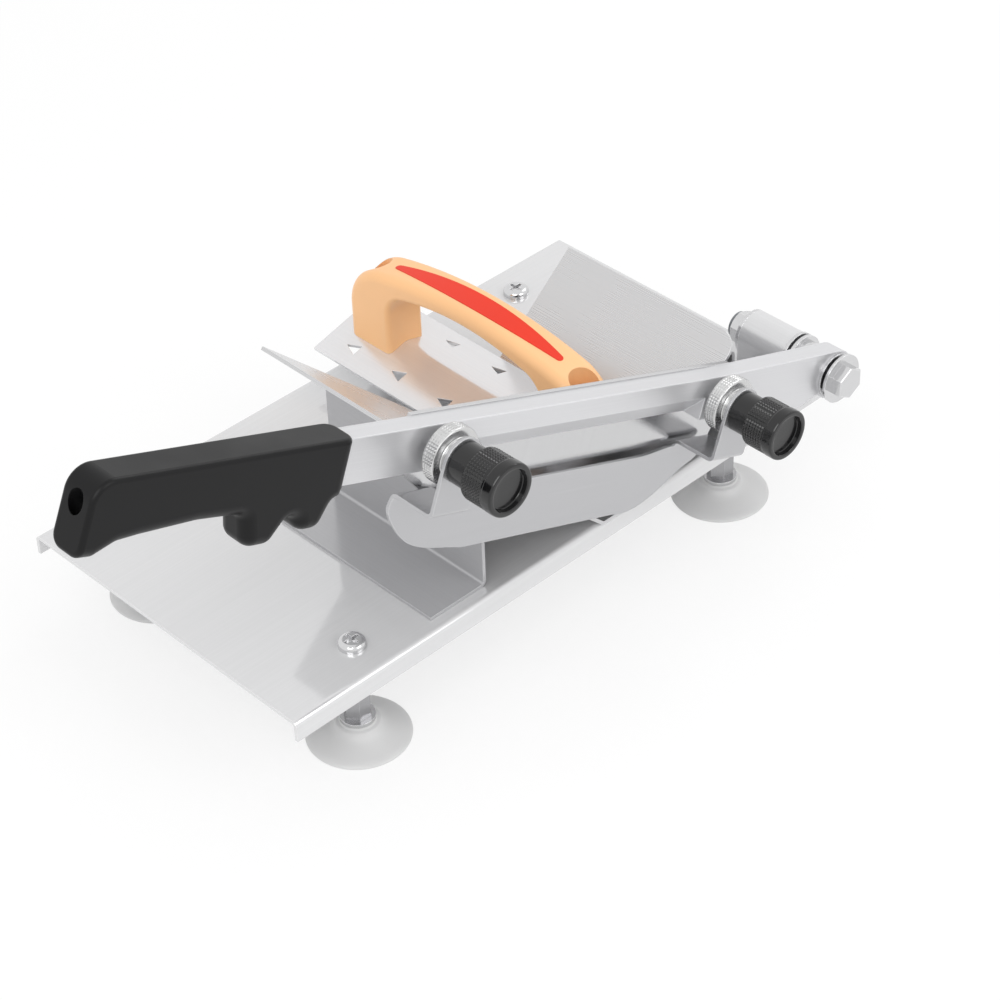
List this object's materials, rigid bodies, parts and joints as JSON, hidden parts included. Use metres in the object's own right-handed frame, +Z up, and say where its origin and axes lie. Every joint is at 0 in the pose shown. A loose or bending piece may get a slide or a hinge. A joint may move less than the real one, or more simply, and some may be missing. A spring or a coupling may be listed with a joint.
{
  "type": "frozen meat slicer",
  "caption": "Bench slicer for frozen meat: lever blade arm hinged beside a V trough, with a slice gauge, a toothed hand pusher and suction feet.",
  "frame": {"origin": "on the table, under the middle of the base plate, in the plane of the suction cups' rims", "axes": "+X along the base plate towards the arm's pivot, -Y towards the user and the blade, +Z up"},
  "size_m": [0.3916, 0.2133, 0.2112],
  "materials": {
    "base_steel": "satin",
    "trough_steel": "satin",
    "support_steel": "polished",
    "bracket_steel": "satin",
    "arm_steel": "satin",
    "blade_steel": "ground",
    "gauge_steel": "satin",
    "knurled_steel": "turned",
    "fastener_steel": "bright",
    "spring_steel": "black oxide",
    "bush_plastic": "moulded",
    "lock_ring_nylon": "moulded",
    "insert_brass": "turned",
    "knob_plastic": "moulded",
    "grip_plastic": "fine grain",
    "cup_rubber": "moulded",
    "pusher_steel": "satin",
    "handle_plastic": "glossy",
    "inlay_plastic": "glossy"
  },
  "bodies": {
    "frame": {"base_plate": "base_steel", "trough": "trough_steel", "support_left": "support_steel", "support_right": "support_steel", "pivot_bracket": "bracket_steel", "bracket_screws": "fastener_steel", "bracket_nuts": "fastener_steel", "pivot_sleeve": "bracket_steel", "pivot_bush_front": "bush_plastic", "pivot_bush_rear": "bush_plastic", "foot_washers": "fastener_steel", "foot_screws": "fastener_steel", "cup_studs": "fastener_steel", "suction_cup_front_left": "cup_rubber", "foot_sleeve_front_left": "fastener_steel", "suction_cup_rear_left": "cup_rubber", "foot_sleeve_rear_left": "fastener_steel", "suction_cup_front_right": "cup_rubber", "foot_sleeve_front_right": "fastener_steel", "suction_cup_rear_right": "cup_rubber", "foot_sleeve_rear_right": "fastener_steel"},
    "arm": {"blade_arm": "arm_steel", "blade": "blade_steel", "blade_screws": "fastener_steel", "grip": "grip_plastic", "grip_screws": "fastener_steel", "gauge_stud_left": "fastener_steel", "gauge_stud_right": "fastener_steel", "pivot_bolt": "fastener_steel", "bolt_large_washer": "fastener_steel", "bolt_thin_washer": "fastener_steel", "bolt_spring_washer": "spring_steel", "arm_collar_washer": "fastener_steel", "arm_spacer": "knurled_steel", "thrust_washers": "fastener_steel", "disc_spring": "spring_steel", "rear_washer": "fastener_steel", "lock_nut": "fastener_steel", "lock_nut_ring": "lock_ring_nylon"},
    "gauge": {"gauge_plate": "gauge_steel"},
    "set_nut_left": {"set_nut_left": "knurled_steel"},
    "set_nut_right": {"set_nut_right": "knurled_steel"},
    "knob_left": {"knob_left": "knob_plastic", "knob_insert_left": "insert_brass"},
    "knob_right": {"knob_right": "knob_plastic", "knob_insert_right": "insert_brass"},
    "pusher": {"pusher_plate": "pusher_steel", "pusher_handle": "handle_plastic", "handle_inlay": "inlay_plastic", "pusher_screws": "fastener_steel", "pusher_washers": "fastener_steel", "pusher_nuts": "fastener_steel"}
  },
  "joints": [
    {"name": "blade_swing", "type": "hinge", "parent": "frame", "child": "arm", "pos_m": [0.1405, -0.088, 0.0595], "axis": [0, 1, 0], "range_deg": [-15, 62]},
    {"name": "gauge_set", "type": "slide", "parent": "arm", "child": "gauge", "axis": [0, -1, 0], "range_m": [-0.0008, 0.008]},
    {"name": "knob_left_turn", "type": "hinge", "parent": "gauge", "child": "knob_left", "pos_m": [-0.083, -0.118, 0.14557], "axis": [0, -1, 0], "range_deg": [-288, 2880]},
    {"name": "knob_right_turn", "type": "hinge", "parent": "gauge", "child": "knob_right", "pos_m": [0.067, -0.118, 0.08708], "axis": [0, -1, 0], "range_deg": [-288, 2880]},
    {"name": "set_nut_left_turn", "type": "hinge", "parent": "gauge", "child": "set_nut_left", "pos_m": [-0.083, -0.1, 0.14557], "axis": [0, -1, 0], "range_deg": [-288, 2880]},
    {"name": "set_nut_right_turn", "type": "hinge", "parent": "gauge", "child": "set_nut_right", "pos_m": [0.067, -0.1, 0.08708], "axis": [0, -1, 0], "range_deg": [-288, 2880]},
    {"name": "pusher_feed", "type": "slide", "parent": "frame", "child": "pusher", "axis": [0, 1, 0], "range_m": [0, 0.06]}
  ],
  "couplings": [
    {"joint": "knob_left_turn", "follows": "gauge_set", "rad_per_m": 6283.2},
    {"joint": "knob_right_turn", "follows": "gauge_set", "rad_per_m": 6283.2},
    {"joint": "set_nut_left_turn", "follows": "gauge_set", "rad_per_m": 6283.2},
    {"joint": "set_nut_right_turn", "follows": "gauge_set", "rad_per_m": 6283.2}
  ]
}
